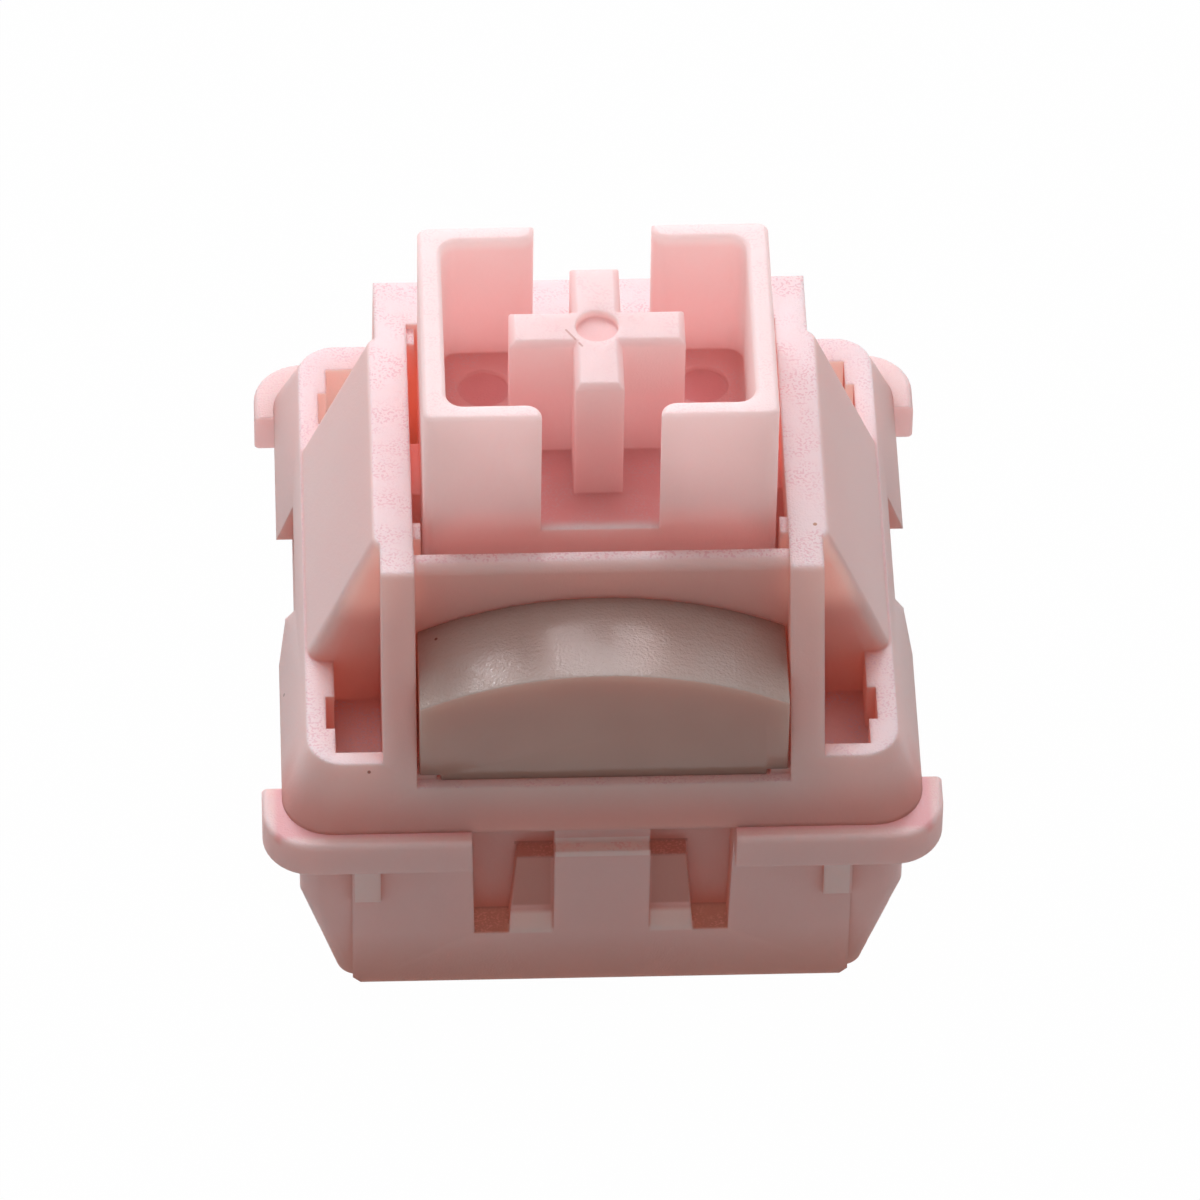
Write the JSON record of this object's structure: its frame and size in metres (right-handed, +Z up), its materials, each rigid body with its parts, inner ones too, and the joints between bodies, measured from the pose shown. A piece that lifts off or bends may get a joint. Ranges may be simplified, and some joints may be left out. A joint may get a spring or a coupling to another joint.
{
  "type": "magnetic keyboard switch",
  "caption": "Plate-fitted magnetic key switch: pink split housing, sprung box stem with a keycap cross, a magnet in the stem and a milky light guide in front.",
  "frame": {"origin": "centre of the bounding box at the flat underside", "axes": "+Z up along the stem's travel, front with the light guide towards -Y, +X to the right seen from the front"},
  "size_m": [0.0156, 0.0156, 0.015],
  "materials": {
    "bottom_housing": "fine matte moulded plastic, pale pink",
    "top_housing": "fine spark-textured moulded plastic, pale pink",
    "stem": "smooth low-friction moulded plastic, pale pink",
    "magnet": "nickel plate, satin",
    "return_spring": "drawn steel wire",
    "light_guide": "milky translucent plastic, frosted on the arched top"
  },
  "bodies": {
    "housing": {"bottom_housing": "bottom_housing", "top_housing": "top_housing", "light_guide": "light_guide", "return_spring": "return_spring"},
    "slider": {"stem": "stem", "magnet": "magnet"}
  },
  "joints": [
    {"name": "key_travel", "type": "slide", "parent": "housing", "child": "slider", "axis": [0, 0, -1], "range_m": [0, 0.0034], "stiffness_N_per_m": 50, "springref_m": -0.006, "deforming": ["return_spring"]}
  ]
}
